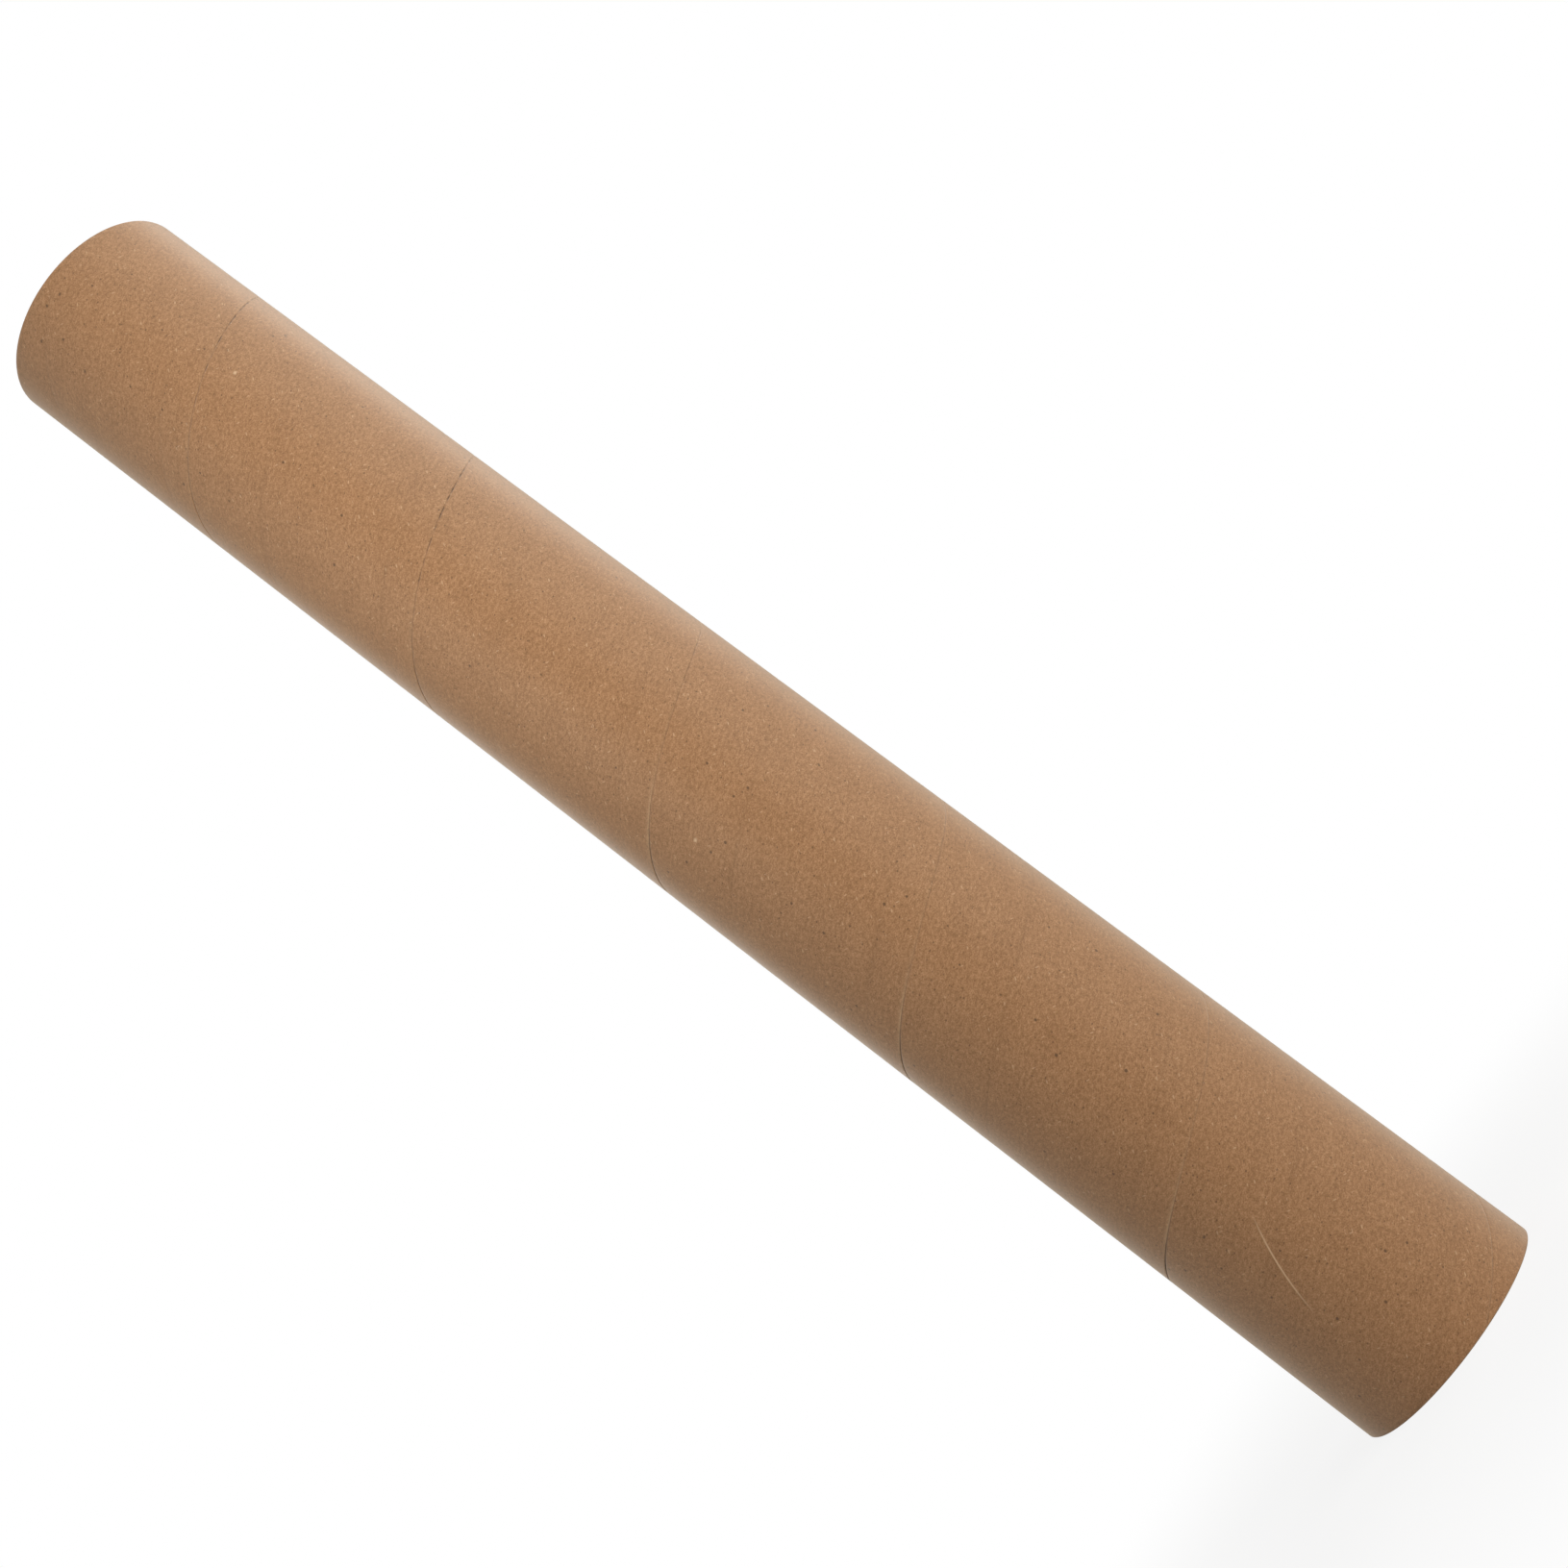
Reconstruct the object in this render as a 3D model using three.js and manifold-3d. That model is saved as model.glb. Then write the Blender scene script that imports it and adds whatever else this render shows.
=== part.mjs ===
// Kraft shipping tube: strips of brown kraft paper, wound in a spiral and glued into one rigid wall.
// It is cut square and open at both ends. Where the edges of a strip meet, a narrow seam climbs
// round the tube: one on the outside and one in the bore.
//
// Millimetres, +Z up. The origin is the centre of the bottom end, which the tube stands on.
// The front of the tube faces -Y.

import * as THREE from 'three';
import { mergeVertices } from 'three/addons/utils/BufferGeometryUtils.js';
import Module from 'manifold-3d';

// Driving dimensions of the tube.
const LENGTH = 400;
const BORE_DIAMETER = 50.8; // a 2 inch bore, a standard size for such tubes
const WALL = 2.3;
const EDGE_BREAK = 0.2; // the knife leaves each cut edge a little soft

// Driving dimensions of the winding.
const PLY_WIDTH = 65.4; // width of the paper strip that shows on the outside
const PLY_THICKNESS = 0.35;
const SEAM_GAP = 0.3; // how far apart the two edges of a strip lie
const OUTER_SEAM_HEIGHT = 68.5; // where the outer seam first crosses the front of the tube
const BORE_SEAM_HEIGHT = 33.2; // the same for the seam in the bore, about half a turn away

// How finely the round wall is drawn, and how far a cut runs past what it cuts.
const SIDES = 48;
const OVERCUT = 1;

// Sizes that follow from the driving ones.
const BORE_RADIUS = BORE_DIAMETER / 2;
const OUTER_RADIUS = BORE_RADIUS + WALL;
const SIDE_ANGLE = (2 * Math.PI) / SIDES;
const FRONT_ANGLE = -Math.PI / 2;

// A strip wound edge to edge leans so that its width just covers the rise of one turn.
// Every ply is glued to the next, so the seam in the bore climbs at the same rate.
const WINDING_ANGLE = Math.asin(PLY_WIDTH / (2 * Math.PI * OUTER_RADIUS));
const RISE_PER_TURN = PLY_WIDTH / Math.cos(WINDING_ANGLE);

const wasm = await Module();
wasm.setup();

// Turns a closed mesh into a solid that can be cut.
function solidFrom(geometry) {
  geometry.deleteAttribute('normal');
  geometry.deleteAttribute('uv');
  const shell = mergeVertices(geometry);
  return new wasm.Manifold(new wasm.Mesh({
    numProp: 3,
    vertProperties: new Float32Array(shell.attributes.position.array),
    triVerts: new Uint32Array(shell.index.array),
  }));
}

// Turns a solid back into a mesh with flat-shaded faces.
function geometryFrom(solid) {
  const mesh = solid.getMesh();
  const shared = new THREE.BufferGeometry();
  shared.setAttribute('position', new THREE.BufferAttribute(mesh.vertProperties, mesh.numProp));
  shared.setIndex(new THREE.BufferAttribute(mesh.triVerts, 1));
  const geometry = shared.toNonIndexed();
  geometry.computeVertexNormals();
  return geometry;
}

// The plain wall: its section, with four softened corners, turned about the tube's axis.
function wallGeometry() {
  const corners = [
    [BORE_RADIUS + EDGE_BREAK, 0],
    [OUTER_RADIUS - EDGE_BREAK, 0],
    [OUTER_RADIUS, EDGE_BREAK],
    [OUTER_RADIUS, LENGTH - EDGE_BREAK],
    [OUTER_RADIUS - EDGE_BREAK, LENGTH],
    [BORE_RADIUS + EDGE_BREAK, LENGTH],
    [BORE_RADIUS, LENGTH - EDGE_BREAK],
    [BORE_RADIUS, EDGE_BREAK],
  ];
  const section = corners.map(([radius, height]) => new THREE.Vector2(radius, height));
  section.push(section[0].clone());
  return new THREE.LatheGeometry(section, SIDES).rotateX(Math.PI / 2);
}

// The seam's cutter: a small rectangle from one radius to another, carried up a helix.
// It is extruded straight first, with one step for each side of the wall, and then wound on:
// x is the way along the tube, y the radius, and z the angle.
function seamGeometry(fromRadius, toRadius, frontHeight) {
  const heightAt = (angle) => frontHeight + (RISE_PER_TURN * (angle - FRONT_ANGLE)) / (2 * Math.PI);
  const angleAt = (height) => FRONT_ANGLE + (2 * Math.PI * (height - frontHeight)) / RISE_PER_TURN;
  const firstSide = Math.floor(angleAt(-OVERCUT) / SIDE_ANGLE);
  const lastSide = Math.ceil(angleAt(LENGTH + OVERCUT) / SIDE_ANGLE);

  const section = new THREE.Shape();
  section.moveTo(-SEAM_GAP / 2, fromRadius);
  section.lineTo(SEAM_GAP / 2, fromRadius);
  section.lineTo(SEAM_GAP / 2, toRadius);
  section.lineTo(-SEAM_GAP / 2, toRadius);
  section.closePath();

  const steps = lastSide - firstSide;
  const geometry = new THREE.ExtrudeGeometry(section, { depth: steps, steps, bevelEnabled: false });
  const place = geometry.attributes.position;
  for (let i = 0; i < place.count; i += 1) {
    const radius = place.getY(i);
    const angle = (firstSide + place.getZ(i)) * SIDE_ANGLE;
    const height = heightAt(angle) + place.getX(i);
    place.setXYZ(i, radius * Math.cos(angle), radius * Math.sin(angle), height);
  }
  return geometry;
}

// The whole tube: one wall, with a seam cut one ply deep outside and in the bore.
function tubeGeometry() {
  const wall = solidFrom(wallGeometry());
  const outerSeam = solidFrom(
    seamGeometry(OUTER_RADIUS - PLY_THICKNESS, OUTER_RADIUS + OVERCUT, OUTER_SEAM_HEIGHT),
  );
  const boreSeam = solidFrom(
    seamGeometry(BORE_RADIUS - OVERCUT, BORE_RADIUS + PLY_THICKNESS, BORE_SEAM_HEIGHT),
  );
  return geometryFrom(wall.subtract(outerSeam).subtract(boreSeam));
}

const kraftBoard = new THREE.MeshStandardMaterial({
  color: 0xb48f6a,
  roughness: 0.85,
  metalness: 0,
});

const tube = new THREE.Mesh(tubeGeometry(), kraftBoard);
tube.name = 'tube';

const shippingTube = new THREE.Group();
shippingTube.add(tube);

export default shippingTube;
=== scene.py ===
# %% [markdown]
# # A kraft shipping tube
#
# The real tube is one piece: strips of brown kraft paper, wound in a spiral round a steel
# mandrel, glued into a rigid wall and cut square at both ends. This script takes the packed
# model of that tube as a fixed frame and builds the surface that the eye sees: the fine seam
# that climbs round it, faint hollows over the plies beneath, the layered cut ends, and the paper.

import math

import bpy
import numpy as np
from mathutils import Matrix, Vector


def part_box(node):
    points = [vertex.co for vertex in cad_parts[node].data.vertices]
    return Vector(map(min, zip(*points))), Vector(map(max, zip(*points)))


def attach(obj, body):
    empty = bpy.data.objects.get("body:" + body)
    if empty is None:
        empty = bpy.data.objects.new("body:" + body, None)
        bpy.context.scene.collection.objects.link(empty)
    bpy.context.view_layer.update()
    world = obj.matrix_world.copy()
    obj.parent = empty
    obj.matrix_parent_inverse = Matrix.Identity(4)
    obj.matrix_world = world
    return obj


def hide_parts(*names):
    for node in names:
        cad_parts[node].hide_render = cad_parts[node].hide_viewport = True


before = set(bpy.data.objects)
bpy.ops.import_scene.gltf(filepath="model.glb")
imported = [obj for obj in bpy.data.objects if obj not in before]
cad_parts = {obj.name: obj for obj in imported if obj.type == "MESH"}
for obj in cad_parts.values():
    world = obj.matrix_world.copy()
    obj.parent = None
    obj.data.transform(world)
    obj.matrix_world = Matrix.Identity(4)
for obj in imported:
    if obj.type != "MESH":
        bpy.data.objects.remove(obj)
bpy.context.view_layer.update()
MM = 0.001
print("frame nodes:", sorted(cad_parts))

# %% [markdown]
# ## Sizes
#
# The tube's radius, bore and length come from the frame, so the surface always fits the part.
# What the frame doesn't say, such as how far the seam climbs in a turn, is named here. A strip
# wound edge to edge has only one possible lean: its width has to cover the rise of one turn.

# %% Read the tube's sizes from the frame
tube_low, tube_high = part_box("tube")
tube_corners = np.array([corner.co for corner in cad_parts["tube"].data.vertices])
OUTER_RADIUS = (tube_high.x - tube_low.x) / 2
BORE_RADIUS = float(np.hypot(tube_corners[:, 0], tube_corners[:, 1]).min())
LENGTH = tube_high.z - tube_low.z
WALL = OUTER_RADIUS - BORE_RADIUS

PLY_WIDTH = 65.4 * MM
OUTER_SEAM_HEIGHT = 68.5 * MM
BORE_SEAM_HEIGHT = 33.2 * MM
FRONT_ANGLE = -math.pi / 2

WINDING_ANGLE = math.asin(PLY_WIDTH / (2 * math.pi * OUTER_RADIUS))
RISE_PER_TURN = PLY_WIDTH / math.cos(WINDING_ANGLE)
print(f"tube {2 * OUTER_RADIUS / MM:.1f} mm across and {LENGTH / MM:.0f} mm long")
print(f"bore {2 * BORE_RADIUS / MM:.1f} mm across")
print(f"the seam rises {RISE_PER_TURN / MM:.1f} mm in each turn")

# %% [markdown]
# ## The camera
#
# The photograph looks at the tube from the front and a little below its middle, close enough
# for the far end to look narrower, and rolled so that the tube crosses the picture from corner
# to corner. The camera's place and its three directions were worked out from the outline of
# the tube in the picture, with the tube's own axis as +Z.

# %% Place the camera
CAMERA_PLACE = Vector((0.0, -16.5166 * OUTER_RADIUS, 3.5365 * OUTER_RADIUS))
CAMERA_RIGHT = Vector((0.602193, 0.142371, -0.785553))
CAMERA_UP = Vector((0.798127, -0.130679, 0.588147))
SENSOR_WIDTH_MM = 36.0
PICTURE_WIDTH = 1631
FOCAL_PIXELS = 2085.7

camera_data = bpy.data.cameras.new("photo_camera")
camera_data.sensor_width = SENSOR_WIDTH_MM
camera_data.lens = SENSOR_WIDTH_MM * FOCAL_PIXELS / PICTURE_WIDTH
camera_data.clip_start = 0.01
camera_data.clip_end = 50.0
camera = bpy.data.objects.new("photo_camera", camera_data)
bpy.context.scene.collection.objects.link(camera)
camera_back = CAMERA_RIGHT.cross(CAMERA_UP)
turn = Matrix((CAMERA_RIGHT, CAMERA_UP, camera_back)).transposed()
camera.matrix_world = Matrix.Translation(CAMERA_PLACE) @ turn.to_4x4()
bpy.context.scene.camera = camera
print(f"camera lens {camera_data.lens:.2f} mm, {CAMERA_PLACE.length:.3f} m from the tube's foot")

# %% [markdown]
# ## Helpers
#
# Colours are written as the sRGB hex values that one would read off a screen, and one function
# turns them to the linear numbers that a shader works with. Another adds a node to a material,
# with its settings and its links, so that each material below reads as a short recipe.

# %% Colour and node helpers
def linear(hex_colour):
    """An sRGB colour such as #b08050 as linear red, green, blue and alpha.
    Each channel is c / 12.92 below 0.04045, and ((c + 0.055) / 1.055) to the power 2.4 above."""
    channels = [int(hex_colour[i:i + 2], 16) / 255 for i in (1, 3, 5)]
    return [c / 12.92 if c <= 0.04045 else ((c + 0.055) / 1.055) ** 2.4 for c in channels] + [1.0]


def add(tree, kind, inputs=None, **settings):
    """Adds a node. Settings are the node's own properties, and inputs maps a socket's name or
    number to a value or to another node's output socket, which is then linked."""
    node = tree.nodes.new(kind)
    for name, value in settings.items():
        setattr(node, name, value)
    for name, value in (inputs or {}).items():
        if isinstance(value, bpy.types.NodeSocket):
            tree.links.new(value, node.inputs[name])
        else:
            node.inputs[name].default_value = value
    return node


print("half grey on screen is", round(linear("#808080")[0], 3), "in linear light")


def new_material(name):
    """A material with an empty node tree, and that tree."""
    material = bpy.data.materials.new(name)
    material.use_nodes = True
    material.node_tree.nodes.clear()
    return material, material.node_tree


# %% [markdown]
# ## A skin that is wound like the real one
#
# A plain cylinder grid could not carry the seam: the seam climbs across its rows, and would
# come out as a staircase. So the skin is laid out as the paper is, as one long strip wound up
# the tube. One parameter runs along the strip, and the other runs across it, from one edge to
# the next, so the seam is simply the line where a turn of the strip meets the turn before. The
# rows lie close together beside the seam and far apart elsewhere.
#
# The paper's texture then follows the strip as well, because each face takes its UV from the
# strip's own length and width. It breaks only where the real paper does, at the seam.


# %% Wind a skin
COLUMNS = 288
TURN_STEP = 2 * math.pi / COLUMNS


def wound_skin(radius, seam_height, rows, relief, low, high):
    """The skin of a round wall between two heights, wound as one strip.

    Column k stands at the angle FRONT_ANGLE + k * TURN_STEP, and a row is a distance v across
    the strip from its lower edge. The point's height is
    seam_height + RISE_PER_TURN * k / COLUMNS + v / cos(lean), held between low and high,
    and its radius is radius + relief(v, k, height). The strip's upper edge at column k is its
    lower edge one turn on, at column k + COLUMNS, so the two share their points. Points that
    the ends hold back are replaced by one ring of points at each end."""
    lean = math.atan(RISE_PER_TURN / (2 * math.pi * radius))
    rows = np.asarray(rows)
    first = math.floor((low - seam_height) / RISE_PER_TURN * COLUMNS) - COLUMNS
    last = math.ceil((high - seam_height) / RISE_PER_TURN * COLUMNS)
    column = np.arange(first, last + COLUMNS + 1)
    foot = seam_height + RISE_PER_TURN * column / COLUMNS
    height = foot[:, None] + rows[None, :] / math.cos(lean)

    ring = np.arange(COLUMNS)
    ring_rows, ring_columns = [], []
    for end in (low, high):
        turns = (end - seam_height) / RISE_PER_TURN - ring / COLUMNS
        ring_rows.append((turns - np.floor(turns)) * RISE_PER_TURN * math.cos(lean))
        ring_columns.append(ring + np.floor(turns) * COLUMNS)

    point_row = np.concatenate([np.broadcast_to(rows, height.shape).ravel(), *ring_rows])
    point_column = np.concatenate([np.repeat(column, len(rows)), *ring_columns])
    point_height = np.concatenate([height.ravel(), np.full(COLUMNS, low), np.full(COLUMNS, high)])
    point_height = np.clip(point_height, low, high)
    angle = FRONT_ANGLE + TURN_STEP * point_column
    spread = radius + relief(point_row, point_column, point_height)
    points = np.stack([spread * np.cos(angle), spread * np.sin(angle), point_height], axis=-1)

    low_ring = height.size + ring
    high_ring = low_ring + COLUMNS
    label = np.arange(height.size).reshape(height.shape)
    here = np.mod(column, COLUMNS)[:, None]
    label = np.where(height <= low, low_ring[here], label)
    label = np.where(height >= high, high_ring[here], label)
    strip = np.hstack([label[:-COLUMNS], label[COLUMNS:, :1]])
    faces = np.stack([strip[:-1, :-1], strip[1:, :-1], strip[1:, 1:], strip[:-1, 1:]], axis=-1)

    held = np.clip(np.hstack([height[:-COLUMNS], height[COLUMNS:, :1]]), low, high) - seam_height
    arc = radius * TURN_STEP * column[:-COLUMNS, None]
    along = arc * math.cos(lean) + held * math.sin(lean)
    over = held * math.cos(lean) - arc * math.sin(lean)
    uv = np.stack([along, over], axis=-1)
    corners = np.stack([uv[:-1, :-1], uv[1:, :-1], uv[1:, 1:], uv[:-1, 1:]], axis=-2)
    return {
        "points": points,
        "row": point_row,
        "column": point_column,
        "faces": faces.reshape(-1, 4),
        "corners": corners.reshape(-1, 4, 2),
        "low_ring": low_ring,
        "high_ring": high_ring,
    }


print(f"{COLUMNS} columns a turn, {math.degrees(TURN_STEP):.2f} degrees apart")


# %% [markdown]
# ## The seam and the plies beneath it
#
# The two edges of the paper strip don't quite touch. They leave a gap as narrow as a hair, one
# ply deep, and the upper edge stands a little proud where the glue pulled it up. The gap is
# never even: on one side of the tube it is shut, and on the other it is a dark line. The plies
# beneath have seams of their own, and these show through the top ply as two faint hollows that
# climb beside the seam.
#
# All of this is a change of radius that depends on how far a point is from the seam, so one
# function gives it. A few slow waves, summed, make the seam vary along its length.

# %% Describe the relief of the outside
GAP_HALF_WIDTH = 0.16 * MM
GAP_DEPTH = 0.30 * MM
LIP_RISE = 0.04 * MM
LIP_WIDTH = 0.28 * MM
GHOST_ROWS = (8.6 * MM, 43.7 * MM)
GHOST_HALF_WIDTH = 0.55 * MM
GHOST_DEPTH = 0.045 * MM
WALL_WANDER = 0.02 * MM
SKIN_INSET = 0.06 * MM
SLOW_WAVES_MM = (7.3, 12.9, 23.7, 61.0)
DASH_WAVES_MM = (2.9, 4.3, 7.9)


def from_seam(row, column):
    """How far a point is from the nearest seam across the strip, positive above the seam, and
    which column of the winding that seam point belongs to."""
    above = row > PLY_WIDTH / 2
    return np.where(above, row - PLY_WIDTH, row), np.where(above, column + COLUMNS, column)


def waves(column, lengths_mm, phase):
    """A smooth value from 0 to 1 along the strip: the mean of sine waves of unlike lengths."""
    along = column * TURN_STEP * OUTER_RADIUS / math.cos(WINDING_ANGLE)
    sines = [np.sin(2 * math.pi * along / (length * MM) + phase * length) for length in lengths_mm]
    return 0.5 + 0.5 * np.mean(sines, axis=0)


def on_side(column, middle_deg, spread_deg):
    """1 on the side of the tube at an angle from the front, and 0.37 a spread away from there."""
    away = np.mod(column * 360 / COLUMNS - middle_deg + 180, 360) - 180
    return np.exp(-((away / spread_deg) ** 2))


def towards_top(column):
    """0 where the seam crosses a column below the tube's middle, and 1 a fifth above it."""
    climb = OUTER_SEAM_HEIGHT + RISE_PER_TURN * column / COLUMNS
    return np.clip((climb / LENGTH - 0.5) * 5, 0, 1)


def seam_openness(column):
    """How open the seam is where it crosses a column: wide on the tube's left side, almost shut
    in front, and broken into short dashes on the right, mostly towards the top."""
    dashes = np.clip(3.2 * waves(column, DASH_WAVES_MM, 0.37) - 1.2, 0, 1)
    left = on_side(column, -84, 36) * (0.8 + 0.2 * waves(column, SLOW_WAVES_MM, 0.9))
    right = on_side(column, 45, 55) * (0.14 + 0.55 * towards_top(column)) * dashes
    back = on_side(column, 180, 60) * (0.2 + 0.5 * waves(column, SLOW_WAVES_MM, 0.2))
    return 0.15 + 1.1 * left + right + back


def seam_opening(row, column):
    """How open the seam is at a point: its openness where the point lies, times
    exp(-(distance / half width) ^ 4), which is 1 in the gap and 0 away from it."""
    # This value also masks the dark brown of painted shade inside the gap.
    distance, seam_column = from_seam(row, column)
    return np.minimum(seam_openness(seam_column), 1) * np.exp(-((distance / GAP_HALF_WIDTH) ** 4))


def seam_lip(row, column):
    """How much the strip's lower edge stands proud above the seam: most beside it, fading
    upwards, and most where the gap begins to open, on the left of the front and low down."""
    # This value also masks the pale painted highlight along the raised edge.
    distance, seam_column = from_seam(row, column)
    beside = (distance > 0.5 * GAP_HALF_WIDTH) * np.exp(-np.maximum(distance, 0) / LIP_WIDTH)
    proud = 0.15 + 0.85 * on_side(seam_column, -42, 26) * (1 - 0.8 * towards_top(seam_column))
    return beside * proud * (0.5 + 0.5 * waves(seam_column, SLOW_WAVES_MM, 1.91))


def ply_ghosts(row, column):
    """The faint hollows over the seams of the plies beneath: a bell curve round each row."""
    # The same bells mask a faint dark tint of painted shade over the hollows.
    bells = [np.exp(-(((row - middle) / GHOST_HALF_WIDTH) ** 2)) for middle in GHOST_ROWS]
    return sum(bells) * (0.3 + 0.7 * waves(column, SLOW_WAVES_MM, 2.6))


def outer_relief(row, column, height):
    """Radius change of the outside: the gap goes in, the lip out, the ghosts in, and the whole
    wall wanders by a few hundredths of a millimetre as a wound tube does."""
    angle = TURN_STEP * column
    wander = np.sin(2 * angle + 31 * height) + np.sin(3 * angle - 47 * height + 1.0)
    relief = -SKIN_INSET + WALL_WANDER * wander / 2 + LIP_RISE * seam_lip(row, column)
    relief -= GHOST_DEPTH * ply_ghosts(row, column)
    return relief - GAP_DEPTH * seam_opening(row, column)


def rows_beside(middle, distances):
    """Rows at the given distances to both sides of a middle row."""
    return [middle + side * distance for distance in distances for side in (-1, 1)]


# Rows crowd beside the seam and the hollows, and plain rows fill the rest, but for the places
# where one would come too near to a row that is already there.
SEAM_DISTANCES = [distance * MM for distance in (0.05, 0.10, 0.15, 0.22, 0.45, 1.0, 2.2)]
GHOST_DISTANCES = [distance * MM for distance in (0.35, 0.9)]
PLAIN_ROW_STEP = 4.2 * MM
PLAIN_ROW_CLEARANCE = PLAIN_ROW_STEP / 2.5

outer_rows = {0.0}
outer_rows.update(SEAM_DISTANCES)
outer_rows.update(PLY_WIDTH - distance for distance in SEAM_DISTANCES)
for ghost in GHOST_ROWS:
    outer_rows.update([ghost, *rows_beside(ghost, GHOST_DISTANCES)])
for row in np.arange(PLAIN_ROW_STEP, PLY_WIDTH - SEAM_DISTANCES[-1], PLAIN_ROW_STEP):
    if min(abs(row - other) for other in outer_rows) > PLAIN_ROW_CLEARANCE:
        outer_rows.add(row)
rows_above_seam = sum(row < 2 * MM for row in outer_rows)
print(f"{len(outer_rows)} rows across the strip, {rows_above_seam} of them just above the seam")


# %% [markdown]
# ## The cut ends
#
# A saw or a knife cuts the wound tube to length. The cut shows the wall in layers, because
# each ply ends there, and its corners are a little soft. The end is a profile, carried round
# the tube: a quarter circle at the outer corner, shallow grooves between the plies, and a
# quarter circle at the bore. Its first and last ring are those of the two skins, so that the
# whole surface closes without a seam, and the notch of the winding seam runs out over it.

# %% Describe the cut end
EDGE_ROUND = 0.25 * MM
PLY_COUNT = 6
PLY_GROOVE = 0.05 * MM
CORNER_STEPS = 3
ROWS_A_PLY = 3
NOTCH_FADE = 0.35 * MM
CUT_FUZZ = 0.012 * MM
CUT_FUZZ_SEED = 5


def end_profile():
    """Distances in from the outer radius, and depths below the end's plane, for each ring
    between the two skins. The corners follow a quarter circle, and the flat between them
    dips by half a cosine wave at each ply's edge."""
    bend = np.linspace(0, math.pi / 2, CORNER_STEPS + 1)[1:]
    corner_in = EDGE_ROUND * (1 - np.cos(bend))
    corner_depth = EDGE_ROUND * (1 - np.sin(bend))
    flat = np.linspace(EDGE_ROUND, WALL - EDGE_ROUND, PLY_COUNT * ROWS_A_PLY + 1)[1:-1]
    dip = PLY_GROOVE * (0.5 + 0.5 * np.cos(2 * math.pi * PLY_COUNT * flat / WALL)) ** 3
    inward = np.concatenate([corner_in, flat, WALL - corner_in[::-1]])
    depth = np.concatenate([corner_depth, dip, corner_depth[::-1]])
    return inward, depth


def cut_end(outer, bore, outer_ring, bore_ring, plane, facing):
    """The rings of one cut end, from the outer skin's last ring to the bore skin's.
    A ring's radius is the outer radius less its distance in, and the gap's notch, which is the
    outer skin's relief at that end, fades out inwards over NOTCH_FADE. Each point is pushed in
    by up to CUT_FUZZ, always by the same random numbers, as a knife leaves paper uneven."""
    inward, depth = end_profile()
    ring = np.arange(COLUMNS)
    angle = FRONT_ANGLE + TURN_STEP * ring
    notch = np.hypot(*outer["points"][outer_ring, :2].T) - OUTER_RADIUS
    bore_notch = np.hypot(*bore["points"][bore_ring, :2].T) - BORE_RADIUS
    fade = np.exp(-inward / NOTCH_FADE)[:, None]
    bore_fade = np.exp(-(WALL - inward) / NOTCH_FADE)[:, None]
    spread = OUTER_RADIUS - inward[:, None] + notch * fade + bore_notch * bore_fade
    fuzz = np.random.default_rng(CUT_FUZZ_SEED).uniform(0, CUT_FUZZ, spread.shape)
    height = plane - facing * (depth[:, None] + fuzz)
    return np.stack([spread * np.cos(angle), spread * np.sin(angle), height], axis=-1)


print(len(end_profile()[0]), "rings across each cut end")


# %% [markdown]
# ## The bore
#
# The innermost ply is wound from its own strip, with its own seam, at the same rise in each
# turn, because all the plies are glued together as they are wound. The picture doesn't show
# the bore, so it is finished plainly: the same paper, and one seam.

# %% Build the whole tube as one closed mesh
BORE_GAP_DEPTH = 0.22 * MM
BORE_INSET = 0.04 * MM
BORE_LEAN = math.atan(RISE_PER_TURN / (2 * math.pi * BORE_RADIUS))
BORE_PLY_WIDTH = RISE_PER_TURN * math.cos(BORE_LEAN)
BORE_SEAM_DISTANCES = (0.12 * MM, 0.3 * MM)
BORE_PLAIN_MARGIN = 3 * MM
BORE_PLAIN_ROWS = 9


def bore_opening(row, column):
    """How open the bore's seam is: the same bell as outside, on the bore's own strip."""
    # This value also masks the dark brown of painted shade inside the bore's gap.
    distance = np.minimum(row, BORE_PLY_WIDTH - row)
    openness = 0.4 + 0.6 * waves(column, SLOW_WAVES_MM, 0.8)
    return np.exp(-((distance / GAP_HALF_WIDTH) ** 4)) * openness


def bore_relief(row, column, height):
    """Radius change of the bore: away from the axis in the gap, and clear of the solid wall."""
    return BORE_INSET + BORE_GAP_DEPTH * bore_opening(row, column)


def joined(*arrays):
    """The given arrays as one, end to end."""
    return np.concatenate(arrays, axis=0)


skin_ends = (EDGE_ROUND, LENGTH - EDGE_ROUND)
outer = wound_skin(OUTER_RADIUS, OUTER_SEAM_HEIGHT, sorted(outer_rows), outer_relief, *skin_ends)

bore_plain_end = BORE_PLY_WIDTH - BORE_PLAIN_MARGIN
bore_rows = [0.0, *BORE_SEAM_DISTANCES]
bore_rows.extend(np.linspace(BORE_PLAIN_MARGIN, bore_plain_end, BORE_PLAIN_ROWS))
bore_rows.extend(BORE_PLY_WIDTH - distance for distance in reversed(BORE_SEAM_DISTANCES))
bore = wound_skin(BORE_RADIUS, BORE_SEAM_HEIGHT, bore_rows, bore_relief, *skin_ends)
print("before the trim:", len(outer["faces"]), "faces outside,", len(bore["faces"]), "in the bore")


# %% Join the skins and the ends
def ring_bands(first_ring, rings, last_ring):
    """Quads between neighbouring rings, from the first shared ring to the last shared one."""
    stack = np.vstack([first_ring, rings, last_ring])
    here, beyond = stack[:-1], stack[1:]
    faces = np.stack([here, np.roll(here, -1, axis=1), np.roll(beyond, -1, axis=1), beyond], axis=-1)
    return faces.reshape(-1, 4)


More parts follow.
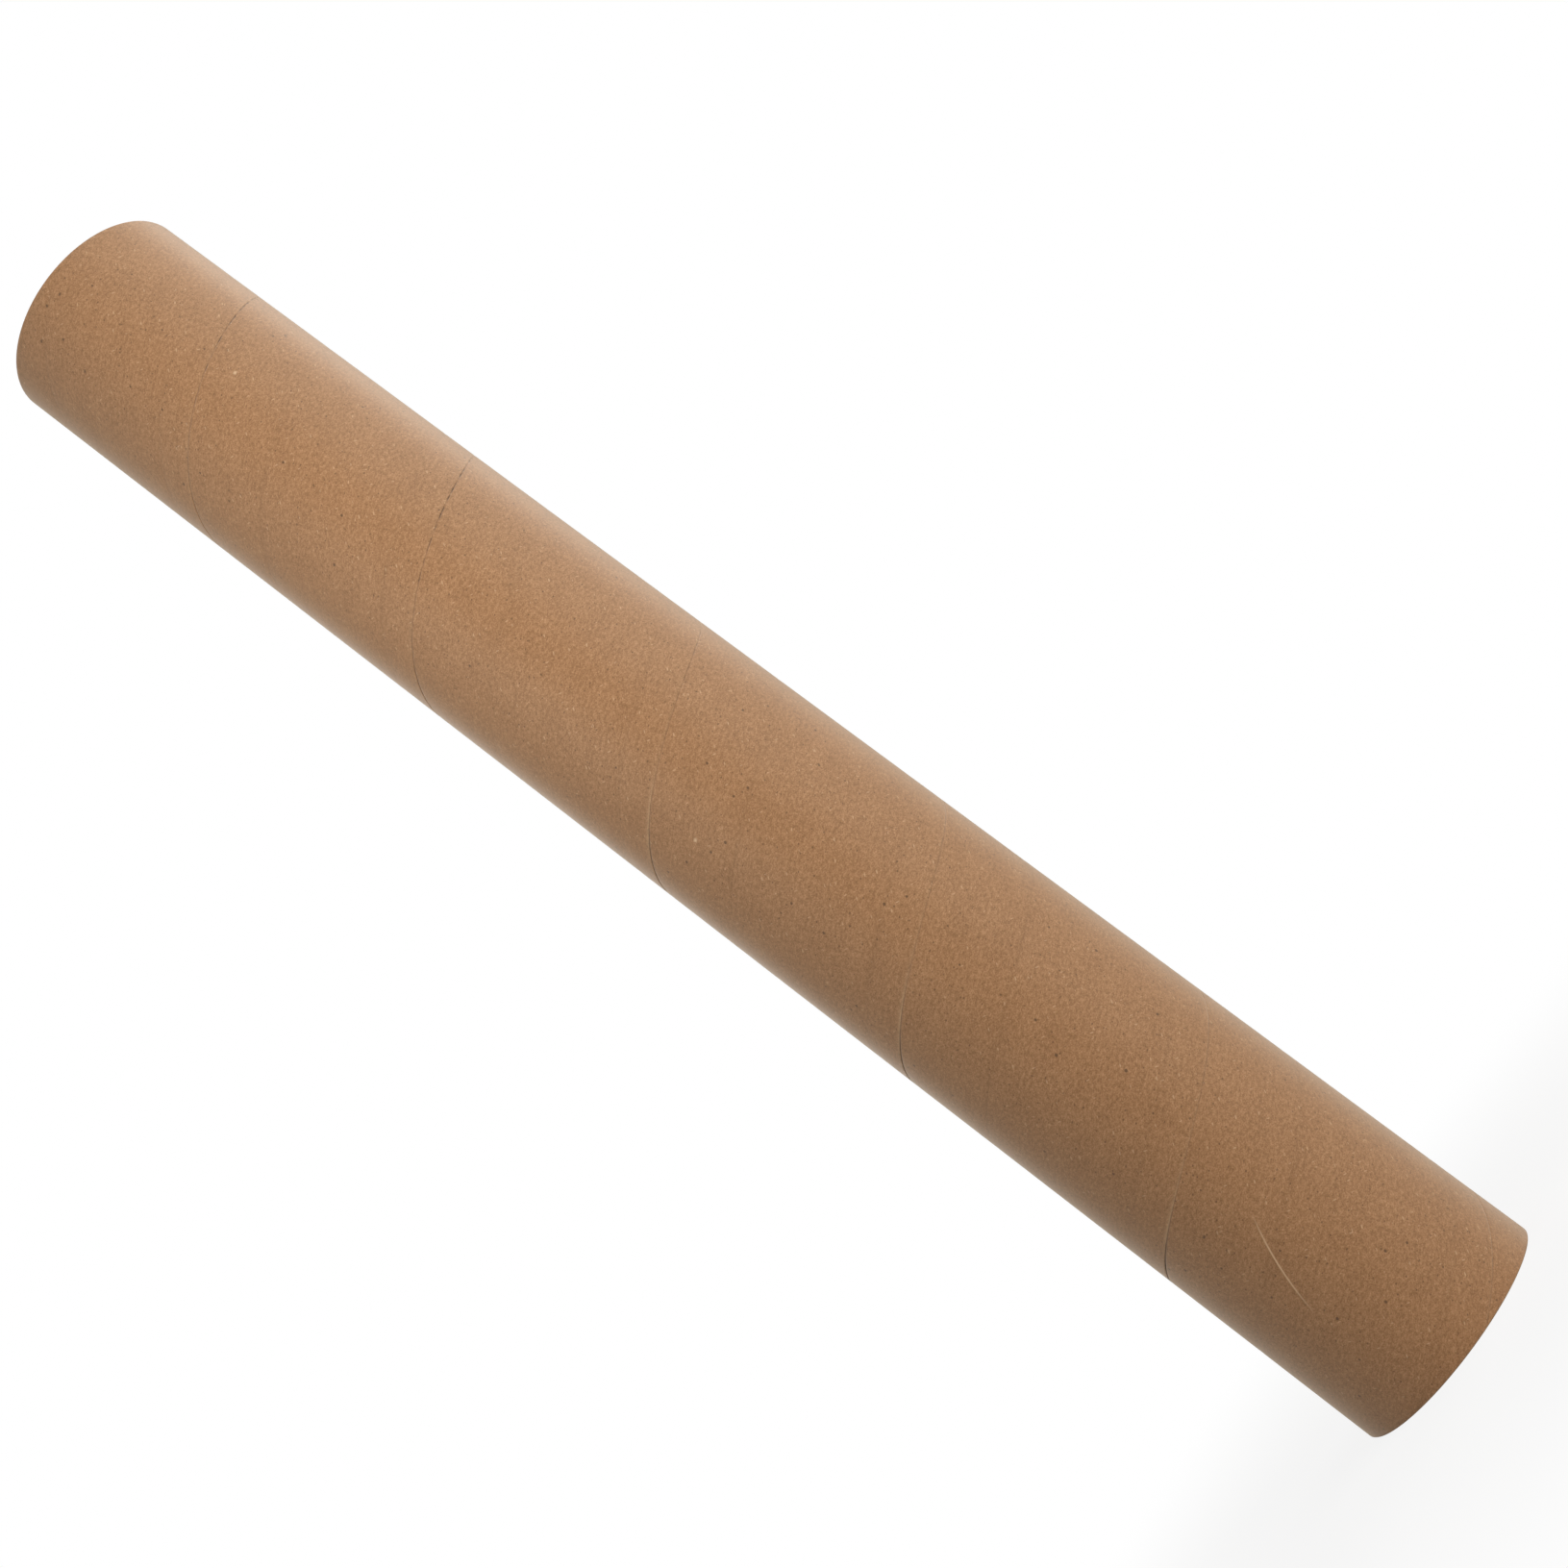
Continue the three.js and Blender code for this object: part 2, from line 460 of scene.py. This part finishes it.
bore_start = len(outer["points"])
bottom = cut_end(outer, bore, outer["low_ring"], bore["low_ring"], 0.0, -1)
top = cut_end(outer, bore, outer["high_ring"], bore["high_ring"], LENGTH, 1)
bottom_start = bore_start + len(bore["points"])
top_start = bottom_start + bottom[..., 0].size
bottom_rings = bottom_start + np.arange(bottom[..., 0].size).reshape(bottom.shape[:2])
top_rings = top_start + np.arange(top[..., 0].size).reshape(top.shape[:2])

points = joined(outer["points"], bore["points"], bottom.reshape(-1, 3), top.reshape(-1, 3))
bore_faces = bore["faces"][:, ::-1] + bore_start
bottom_faces = ring_bands(outer["low_ring"], bottom_rings, bore["low_ring"] + bore_start)[:, ::-1]
top_faces = ring_bands(outer["high_ring"], top_rings, bore["high_ring"] + bore_start)
faces = joined(outer["faces"], bore_faces, bottom_faces, top_faces)
end_faces = len(bottom_faces) + len(top_faces)
part_of_face = np.repeat([0, 1, 2], [len(outer["faces"]), len(bore_faces), end_faces])
corner_uv = joined(outer["corners"], bore["corners"][:, ::-1], np.zeros((end_faces, 4, 2)))

# Where the ends hold points back, some quads have lost a corner and become triangles, and some
# have lost their area. The second kind is dropped.
same_as_next = faces == np.roll(faces, -1, axis=1)
across_pinch = (faces[:, 0] == faces[:, 2]) | (faces[:, 1] == faces[:, 3])
kept = (same_as_next.sum(axis=1) < 2) & ~across_pinch
faces, corner_uv = faces[kept], corner_uv[kept]
part_of_face, same_as_next = part_of_face[kept], same_as_next[kept]
point_total = len(points)
used, faces = np.unique(faces, return_inverse=True)
faces = faces.reshape(-1, 4)
points = points[used]

corner_kept = ~same_as_next
corner_count = corner_kept.sum(axis=1)
loops = faces[corner_kept]
loop_uv = corner_uv[corner_kept]
loop_start = np.concatenate([[0], np.cumsum(corner_count)[:-1]])

mesh = bpy.data.meshes.new("kraft_tube")
mesh.vertices.add(len(points))
mesh.vertices.foreach_set("co", points.astype(np.float32).ravel())
mesh.loops.add(len(loops))
mesh.loops.foreach_set("vertex_index", loops.astype(np.int32))
mesh.polygons.add(len(faces))
mesh.polygons.foreach_set("loop_start", loop_start.astype(np.int32))
mesh.polygons.foreach_set("material_index", part_of_face.astype(np.int32))
mesh.uv_layers.new(name="strip").data.foreach_set("uv", loop_uv.astype(np.float32).ravel())
mesh.update(calc_edges=True)
assert not mesh.validate(), "the tube's mesh had faulty faces"
mesh.shade_smooth()

tube = bpy.data.objects.new("kraft_tube", mesh)
bpy.context.scene.collection.objects.link(tube)
triangles = int((corner_count - 2).sum())
print(f"kraft_tube: {len(points)} points, {triangles} triangles")

# %% [markdown]
# ## How the seam looks
#
# A gap as narrow as a hair is dark inside, and that shade is painted into the paper's colour
# as a dark brown. The pale along the raised edge is a painted highlight, and the faint dark
# tint over the ply hollows is painted shade. The mesh carries these as values at each of its
# points, because the points know how far they are from the seam, and the paper's material
# only has to read them.

# %% Store the seam's painted shade and highlight on the mesh
def stored(name, outer_values, bore_values):
    """Writes one value for each point: the outer skin's, the bore's, and 0 on the cut ends."""
    values = np.zeros(point_total)
    values[:bore_start] = outer_values
    values[bore_start:bore_start + len(bore_values)] = bore_values
    attribute = mesh.attributes.new(name, "FLOAT", "POINT")
    attribute.data.foreach_set("value", values[used].astype(np.float32))


outer_place = (outer["row"], outer["column"])
none_in_bore = np.zeros(len(bore["row"]))
stored("seam_gap", seam_opening(*outer_place), bore_opening(bore["row"], bore["column"]))
stored("seam_lip", seam_lip(*outer_place), none_in_bore)
stored("ply_ghost", ply_ghosts(*outer_place), none_in_bore)
print("values stored on the mesh: seam_gap, seam_lip, ply_ghost")

# %% [markdown]
# ## Kraft paper
#
# Kraft paper is unbleached wood pulp, so it is brown and matt, and it is never one flat colour.
# Its fibres lie mostly along the strip, which gives a fine streaky grain, the pulp clumps into
# a faint cloudiness, and bits of bark and knots stay in it as small dark specks. A few bleached
# fibres show as pale flecks. Nothing coats the paper, so loose fibre ends stand up from it and
# catch the light at a low angle: that is why the tube's edges look pale, and a sheen layer is
# the plain way to make it.
#
# Every pattern here reads the strip's own UV, in metres along and across, so it follows the
# paper round the tube. A Mapping node of the kind Texture measures that UV about a place, with
# a turn, in units of two real lengths, so each pattern's scale is written in millimetres.

# %% Colours of the kraft paper
# The grain runs from a dark brown through the paper's own brown to a light one. The other
# colours are those of bark specks, bleached fibres, painted shade in the seam's gap and a
# painted highlight on its raised edge.
KRAFT_MID = "#a6774e"
KRAFT_DARK = "#76502d"
KRAFT_LIGHT = "#c99b70"
SPECK_BROWN = "#4a2e1a"
FLECK_PALE = "#e0bc94"
# The gap's brown is painted shade inside the seam.
GAP_SHADE_BROWN = "#2c1a0e"
# The lip's pale is a painted highlight on the seam's raised edge.
LIP_HIGHLIGHT_PALE = "#e6c298"

# Cellulose has an IOR of about 1.5. Pressed but uncoated, the paper is matt with a dull shine at
# a low angle, and the fuzz is the sheen of its loose fibre ends, in a warm white.
PAPER_IOR = 1.5
PAPER_ROUGHNESS = 0.6
PAPER_FUZZ = 0.8
FUZZ_ROUGHNESS = 0.5
FUZZ_TINT = "#fff0da"
FUZZ_HEIGHT = 0.04 * MM
print("kraft brown in linear light:", [round(channel, 3) for channel in linear(KRAFT_MID)[:3]])


# %% Patterns on the paper strip
SPECK_HARDNESS = 2.5


def strip_place(height_mm, angle_deg):
    """The strip's UV at a height and an angle counted round from the front: how far along and
    across the winding that place lies."""
    turns_up = (height_mm * MM - OUTER_SEAM_HEIGHT) / RISE_PER_TURN
    turn = angle_deg / 360 + math.floor(turns_up - angle_deg / 360)
    arc = 2 * math.pi * OUTER_RADIUS * turn
    climb = height_mm * MM - OUTER_SEAM_HEIGHT
    along = arc * math.cos(WINDING_ANGLE) + climb * math.sin(WINDING_ANGLE)
    over = climb * math.cos(WINDING_ANGLE) - arc * math.sin(WINDING_ANGLE)
    return (along, over, 0.0)


def grain(tree, strip, along_mm, across_mm, detail, roughness=0.6):
    """A soft pattern of streaks of the given length and width, from 0 to 1."""
    units = (along_mm * MM, across_mm * MM, 1.0)
    placed = add(tree, "ShaderNodeMapping", {"Vector": strip, "Scale": units}, vector_type="TEXTURE")
    noise = {"Vector": placed.outputs[0], "Scale": 1.0, "Detail": detail, "Roughness": roughness}
    return add(tree, "ShaderNodeTexNoise", noise, noise_dimensions="2D").outputs[0]


def scattered_specks(tree, strip, cell_mm, radius_mm, share, stretch=1.0, turn=0.0):
    """Small spots, one in each cell of a Voronoi pattern at most, and only in a share of them.
    A cell's random colour says whether it has a spot, and how large: the spot covers the
    points nearer to the cell's middle than radius * (colour - 1 + share) / share. Its edge is
    soft, and harder as SPECK_HARDNESS rises."""
    units = (cell_mm * MM * stretch, cell_mm * MM, 1.0)
    mapping = {"Vector": strip, "Scale": units, "Rotation": (0.0, 0.0, turn)}
    placed = add(tree, "ShaderNodeMapping", mapping, vector_type="TEXTURE")
    cell = {"Vector": placed.outputs[0], "Scale": 1.0}
    cells = add(tree, "ShaderNodeTexVoronoi", cell, voronoi_dimensions="2D")
    colour = add(tree, "ShaderNodeSeparateColor", {"Color": cells.outputs["Color"]})
    radius = radius_mm / cell_mm
    chosen = {"Value": colour.outputs[0], "From Min": 1 - share, "From Max": 1.0, "To Max": radius}
    reach = add(tree, "ShaderNodeMapRange", chosen)
    edge = {0: reach.outputs[0], 1: cells.outputs["Distance"]}
    inside = add(tree, "ShaderNodeMath", edge, operation="SUBTRACT")
    soft = {0: inside.outputs[0], 1: SPECK_HARDNESS / radius}
    return add(tree, "ShaderNodeMath", soft, operation="MULTIPLY", use_clamp=True).outputs[0]


def single_mark(tree, strip, place, half_length_mm, half_width_mm, turn=0.0, bend=0.0):
    """One mark at a place on the strip: 1 in its middle, and 0 past its half length and width.
    In its own units x runs along it and y across, and its strength is
    (1 - x^2) * (1 - (y - bend * x^2)^2), so a bend of 0 gives a straight lens shape, and any
    other bends it into part of a parabola."""
    units = (half_length_mm * MM, half_width_mm * MM, 1.0)
    mapping = {"Vector": strip, "Location": place, "Rotation": (0.0, 0.0, turn), "Scale": units}
    placed = add(tree, "ShaderNodeMapping", mapping, vector_type="TEXTURE")
    split = add(tree, "ShaderNodeSeparateXYZ", {0: placed.outputs[0]})
    x, y = split.outputs[0], split.outputs[1]
    x_squared = add(tree, "ShaderNodeMath", {0: x, 1: x}, operation="MULTIPLY").outputs[0]
    bow = {0: x_squared, 1: -bend, 2: y}
    bent = add(tree, "ShaderNodeMath", bow, operation="MULTIPLY_ADD").outputs[0]
    y_squared = add(tree, "ShaderNodeMath", {0: bent, 1: bent}, operation="MULTIPLY").outputs[0]
    less_x, less_y = {0: 1.0, 1: x_squared}, {0: 1.0, 1: y_squared}
    along = add(tree, "ShaderNodeMath", less_x, operation="SUBTRACT", use_clamp=True)
    across = add(tree, "ShaderNodeMath", less_y, operation="SUBTRACT", use_clamp=True)
    mark = {0: along.outputs[0], 1: across.outputs[0]}
    return add(tree, "ShaderNodeMath", mark, operation="MULTIPLY").outputs[0]


def tinted(tree, base, factor, colour, strength):
    """A colour tinted by another where a mask from 0 to 1 says so, to a given strength."""
    amount = {0: factor, 1: strength}
    share = add(tree, "ShaderNodeMath", amount, operation="MULTIPLY", use_clamp=True)
    mix = {0: share.outputs[0], 6: base, 7: linear(colour)}
    return add(tree, "ShaderNodeMix", mix, data_type="RGBA").outputs[2]


front_foot = strip_place(0, 0)
print("the front of the foot lies at", [round(side / MM, 1) for side in front_foot[:2]], "mm of strip")


# %% Name the paper's marks
# Scattered marks: the cell and the largest radius in mm, the share of cells that have one, how
# much it is stretched, its turn in radians, its colour and its strength.
SCATTERED_MARKS = (
    (1.4, 0.24, 0.45, 1.4, 0.0, SPECK_BROWN, 0.6),
    (7.5, 0.42, 0.5, 1.2, 0.7, SPECK_BROWN, 0.8),
    (1.5, 0.20, 0.35, 3.0, 0.5, FLECK_PALE, 0.5),
    (1.6, 0.18, 0.35, 3.0, -0.9, FLECK_PALE, 0.45),
)

# Marks that stand out on this tube: a height in mm, an angle in degrees round from the front,
# half a length and half a width in mm, a turn in radians, a bend, a colour and a strength.
SINGLE_MARKS = (
    (394.7, -3.6, 0.55, 0.38, 0.0, 0.0, SPECK_BROWN, 0.9),
    (393.3, -29.0, 0.55, 0.38, 0.0, 0.0, SPECK_BROWN, 0.9),
    (379.1, -27.6, 0.55, 0.38, 0.0, 0.0, SPECK_BROWN, 0.9),
    (54.1, -32.1, 0.55, 0.38, 0.0, 0.0, SPECK_BROWN, 0.9),
    (346.7, 17.6, 0.6, 0.5, 0.0, 0.0, FLECK_PALE, 0.9),
    (191.2, -28.8, 0.6, 0.5, 0.0, 0.0, FLECK_PALE, 0.9),
)
SCRATCH = (39.0, -21.2, 12.0, 0.24, math.radians(45.4), -4.0, FLECK_PALE, 0.95)

# What the mesh says about the seam: the name of the stored value, its colour and its strength.
SEAM_TINTS = (
    # painted shade: a faint dark tint over the ply hollows
    ("ply_ghost", KRAFT_DARK, 0.2),
    # painted highlight: the pale along the raised edge
    ("seam_lip", LIP_HIGHLIGHT_PALE, 1.0),
    # painted shade: the dark brown inside the gap
    ("seam_gap", GAP_SHADE_BROWN, 0.95),
)
print(len(SCATTERED_MARKS), "scattered kinds of mark,", len(SINGLE_MARKS), "single ones and a scratch")


# %% Make the kraft paper
def marked(tree, strip, base, mark):
    """A colour with one single mark on it."""
    height_mm, angle_deg, half_length_mm, half_width_mm, turn, bend, tint, strength = mark
    place = strip_place(height_mm, angle_deg)
    mask = single_mark(tree, strip, place, half_length_mm, half_width_mm, turn, bend)
    return tinted(tree, base, mask, tint, strength)


def kraft_paper():
    """Unbleached kraft paper as it comes off the roll: brown, matt, streaky and specked."""
    material, tree = new_material("kraft_paper")
    strip = add(tree, "ShaderNodeUVMap", uv_map="strip").outputs["UV"]
    # Pulp clumps are some millimetres across. A single fibre is about 0.03 mm thick, too fine to
    # show, so the two finer patterns are drawn coarser: tufts of about 1 mm and a fuzz of 0.3 mm.
    clouds = grain(tree, strip, 8.0, 5.0, 2.0)
    fibres = grain(tree, strip, 1.2, 0.7, 3.0, 0.7)
    fuzz = grain(tree, strip, 0.38, 0.28, 2.0)

    tone = add(tree, "ShaderNodeMix", {0: clouds, 2: 0.4, 3: 0.6})
    tone = add(tree, "ShaderNodeMath", {0: fibres, 1: 0.9, 2: tone.outputs[0]}, operation="MULTIPLY_ADD")
    tone = add(tree, "ShaderNodeMath", {0: fuzz, 1: 0.8, 2: tone.outputs[0]}, operation="MULTIPLY_ADD")
    spread = {"Value": tone.outputs[0], "From Min": 0.90, "From Max": 1.80}
    tone = add(tree, "ShaderNodeMapRange", spread)
    ramp = add(tree, "ShaderNodeValToRGB", {0: tone.outputs[0]})
    ramp.color_ramp.elements[0].color = linear(KRAFT_DARK)
    ramp.color_ramp.elements[1].color = linear(KRAFT_LIGHT)
    ramp.color_ramp.elements.new(0.5).color = linear(KRAFT_MID)
    colour = ramp.outputs[0]

    for *layout, tint, strength in SCATTERED_MARKS:
        mask = scattered_specks(tree, strip, *layout)
        colour = tinted(tree, colour, mask, tint, strength)
    for mark in SINGLE_MARKS:
        colour = marked(tree, strip, colour, mark)
    # The seam's tints are painted shade in the gap and over the ply hollows, and a painted highlight on
    # the lip.
    for seam_part, tint, strength in SEAM_TINTS:
        mask = add(tree, "ShaderNodeAttribute", attribute_name=seam_part).outputs["Fac"]
        colour = tinted(tree, colour, mask, tint, strength)
    colour = marked(tree, strip, colour, SCRATCH)

    height = add(tree, "ShaderNodeMath", {0: fuzz, 1: 0.4, 2: fibres}, operation="MULTIPLY_ADD")
    relief = {"Height": height.outputs[0], "Strength": 0.6, "Distance": FUZZ_HEIGHT}
    bump = add(tree, "ShaderNodeBump", relief)
    surface = {
        "Base Color": colour,
        "Roughness": PAPER_ROUGHNESS,
        "IOR": PAPER_IOR,
        "Sheen Weight": PAPER_FUZZ,
        "Sheen Roughness": FUZZ_ROUGHNESS,
        "Sheen Tint": linear(FUZZ_TINT),
        "Specular Tint": linear(FUZZ_TINT),
        "Normal": bump.outputs[0],
    }
    paper = add(tree, "ShaderNodeBsdfPrincipled", surface)
    add(tree, "ShaderNodeOutputMaterial", {"Surface": paper.outputs[0]})
    return material


paper_material = kraft_paper()
print(paper_material.name, "has", len(paper_material.node_tree.nodes), "nodes")


# %% [markdown]
# ## The cut edge
#
# Where the wall is cut, the ends of the fibres show. They scatter the light more than the
# smooth face does, so the cut is paler and greyer, with a thin brown line of glue between one
# ply and the next. The lines follow the distance from the tube's axis, which the material
# works out from Object coordinates.

# %% Make the cut edge
CUT_PALE = "#c09a74"
CUT_SHADE = "#a27a55"
GLUE_BROWN = "#6f4c30"
CUT_ROUGHNESS = 0.85
CUT_FUZZ_HEIGHT = 0.08 * MM


def cut_board():
    """Wound board cut across: fuzzy fibre ends, and glue lines at each ply's edge."""
    material, tree = new_material("cut_board")
    place = add(tree, "ShaderNodeTexCoord").outputs["Object"]
    split = add(tree, "ShaderNodeSeparateXYZ", {0: place})
    flat = add(tree, "ShaderNodeCombineXYZ", {0: split.outputs[0], 1: split.outputs[1]})
    radius = add(tree, "ShaderNodeVectorMath", {0: flat.outputs[0]}, operation="LENGTH")
    plies = {
        "Value": radius.outputs["Value"],
        "From Min": OUTER_RADIUS,
        "From Max": BORE_RADIUS,
        "To Max": 2 * math.pi * PLY_COUNT,
    }
    phase = add(tree, "ShaderNodeMapRange", plies)
    wave = add(tree, "ShaderNodeMath", {0: phase.outputs[0]}, operation="COSINE")
    crests = {"Value": wave.outputs[0], "From Min": 0.55, "From Max": 1.0}
    line = add(tree, "ShaderNodeMapRange", crests)
    # Fibre ends are far finer than this, and are drawn 0.35 mm across so that they show.
    ends = {"Vector": place, "Scale": 1 / (0.35 * MM), "Detail": 3.0}
    fuzz = add(tree, "ShaderNodeTexNoise", ends)
    clumps = {"Vector": place, "Scale": 1 / (6 * MM), "Detail": 1.0}
    patches = add(tree, "ShaderNodeTexNoise", clumps)
    both = {0: fuzz.outputs[0], 1: patches.outputs[0]}
    share = add(tree, "ShaderNodeMath", both, operation="ADD")
    spread = {"Value": share.outputs[0], "From Min": 0.7, "From Max": 1.3}
    share = add(tree, "ShaderNodeMapRange", spread)
    colour = {0: share.outputs[0], 6: linear(CUT_SHADE), 7: linear(CUT_PALE)}
    colour = add(tree, "ShaderNodeMix", colour, data_type="RGBA").outputs[2]
    colour = tinted(tree, colour, line.outputs[0], GLUE_BROWN, 0.6)
    relief = {"Height": fuzz.outputs[0], "Strength": 0.7, "Distance": CUT_FUZZ_HEIGHT}
    bump = add(tree, "ShaderNodeBump", relief)
    surface = {
        "Base Color": colour,
        "Roughness": CUT_ROUGHNESS,
        "IOR": PAPER_IOR,
        "Normal": bump.outputs[0],
    }
    board = add(tree, "ShaderNodeBsdfPrincipled", surface)
    add(tree, "ShaderNodeOutputMaterial", {"Surface": board.outputs[0]})
    return material


cut_material = cut_board()
print(cut_material.name, "has", len(cut_material.node_tree.nodes), "nodes")


# %% Dress the tube and let it ride on the frame
# The outside and the bore have the same paper, and the two ends have the cut board.
for material in (paper_material, paper_material, cut_material):
    mesh.materials.append(material)
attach(tube, "root")
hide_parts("tube")
print("materials on the tube:", [material.name for material in mesh.materials])

# %% [markdown]
# ## Floor, backdrop and light
#
# The picture has a plain white ground. The world and the floor are white only to rays that
# reach the eye straight or by reflection, at a strength of 1. All other rays see a soft grey
# world and a pale floor, so that the white ground adds no light to the tube. Close to the tube
# the floor shows itself through the white, so the tube's own soft shadow stays.
#
# Four soft lamps do the rest: a large one from the right of the front, one behind the right
# side that brightens that edge, a small weak one close by on the left, and one behind the
# tube, which hardly shows from the front but keeps the back from going dark.

# %% Make the floor
WHITE = (1.0, 1.0, 1.0, 1.0)
FLOOR_RADIUS = 6.0
FLOOR_SIDES = 64
FLOOR_PALE = "#dcdad7"
SHADOW_NEAR, SHADOW_FAR = 0.04, 0.22
SHADOW_SHARE = 0.14


def seen_by_eye(tree):
    """1 for rays that reach the eye straight, off gloss or through glass, and 0 for all others."""
    path = add(tree, "ShaderNodeLightPath").outputs
    straight_or_gloss = {0: path["Is Camera Ray"], 1: path["Is Glossy Ray"]}
    seen = add(tree, "ShaderNodeMath", straight_or_gloss, operation="MAXIMUM")
    or_glass = {0: seen.outputs[0], 1: path["Is Transmission Ray"]}
    return add(tree, "ShaderNodeMath", or_glass, operation="MAXIMUM").outputs[0]


def pale_floor():
    """A pale floor that looks white to the eye, but for the tube's shadow close to it."""
    material, tree = new_material("pale_floor")
    place = add(tree, "ShaderNodeTexCoord").outputs["Object"]
    distance = add(tree, "ShaderNodeVectorMath", {0: place}, operation="LENGTH")
    fade = {
        "Value": distance.outputs["Value"],
        "From Min": SHADOW_NEAR,
        "From Max": SHADOW_FAR,
        "To Min": SHADOW_SHARE,
        "To Max": 0.0,
    }
    share = add(tree, "ShaderNodeMapRange", fade, interpolation_type="SMOOTHSTEP")
    pale = add(tree, "ShaderNodeBsdfDiffuse", {"Color": linear(FLOOR_PALE)})
    white = add(tree, "ShaderNodeEmission", {"Color": WHITE, "Strength": 1.0})
    near_tube = {0: share.outputs[0], 1: white.outputs[0], 2: pale.outputs[0]}
    shown = add(tree, "ShaderNodeMixShader", near_tube)
    by_ray = {0: seen_by_eye(tree), 1: pale.outputs[0], 2: shown.outputs[0]}
    surface = add(tree, "ShaderNodeMixShader", by_ray)
    add(tree, "ShaderNodeOutputMaterial", {"Surface": surface.outputs[0]})
    return material


floor_angle = np.linspace(0, 2 * math.pi, FLOOR_SIDES, endpoint=False)
floor_ring = [np.cos(floor_angle), np.sin(floor_angle), np.zeros(FLOOR_SIDES)]
floor_points = FLOOR_RADIUS * np.stack(floor_ring, axis=-1)
floor_mesh = bpy.data.meshes.new("floor")
floor_mesh.from_pydata(floor_points.tolist(), [], [list(range(FLOOR_SIDES))])
floor_mesh.materials.append(pale_floor())
floor = bpy.data.objects.new("floor", floor_mesh)
bpy.context.scene.collection.objects.link(floor)
print(f"floor {2 * FLOOR_RADIUS:.0f} m across")

# %% Light the scene
WORLD_LEVEL = 0.065
LAMP_AIM = Vector((0.0, 0.0, 0.28))
KEY_PLACE, KEY_SIZE, KEY_WATTS = Vector((0.60, -0.48, 0.46)), 0.60, 4.6
RIM_PLACE, RIM_SIZE, RIM_WATTS = Vector((0.45, 0.25, 0.55)), 0.40, 1.6
FILL_PLACE, FILL_SIZE, FILL_WATTS = Vector((-0.16, -0.18, 0.30)), 0.15, 0.30
BACK_PLACE, BACK_SIZE, BACK_WATTS = Vector((-0.25, 0.75, 0.40)), 0.60, 2.1

world = bpy.data.worlds.new("studio")
world.use_nodes = True
bpy.context.scene.world = world
sky = world.node_tree
sky.nodes.clear()
level = add(sky, "ShaderNodeMix", {0: seen_by_eye(sky), 2: WORLD_LEVEL, 3: 1.0})
backdrop = add(sky, "ShaderNodeBackground", {"Color": WHITE, "Strength": level.outputs[0]})
add(sky, "ShaderNodeOutputWorld", {"Surface": backdrop.outputs[0]})


def soft_lamp(name, place, aim, size, watts):
    """A square area lamp at a place, turned to face what it is aimed at."""
    lamp_data = bpy.data.lights.new(name, "AREA")
    lamp_data.size = size
    lamp_data.energy = watts
    lamp = bpy.data.objects.new(name, lamp_data)
    bpy.context.scene.collection.objects.link(lamp)
    lamp.location = place
    lamp.rotation_mode = "QUATERNION"
    lamp.rotation_quaternion = (aim - place).to_track_quat("-Z", "Y")
    print(f"{name}: {watts} W, {(aim - place).length:.2f} m from where it aims")


soft_lamp("key_lamp", KEY_PLACE, LAMP_AIM, KEY_SIZE, KEY_WATTS)
soft_lamp("rim_lamp", RIM_PLACE, LAMP_AIM, RIM_SIZE, RIM_WATTS)
soft_lamp("fill_lamp", FILL_PLACE, LAMP_AIM, FILL_SIZE, FILL_WATTS)
soft_lamp("back_lamp", BACK_PLACE, LAMP_AIM, BACK_SIZE, BACK_WATTS)
bpy.context.scene.view_settings.view_transform = "Standard"
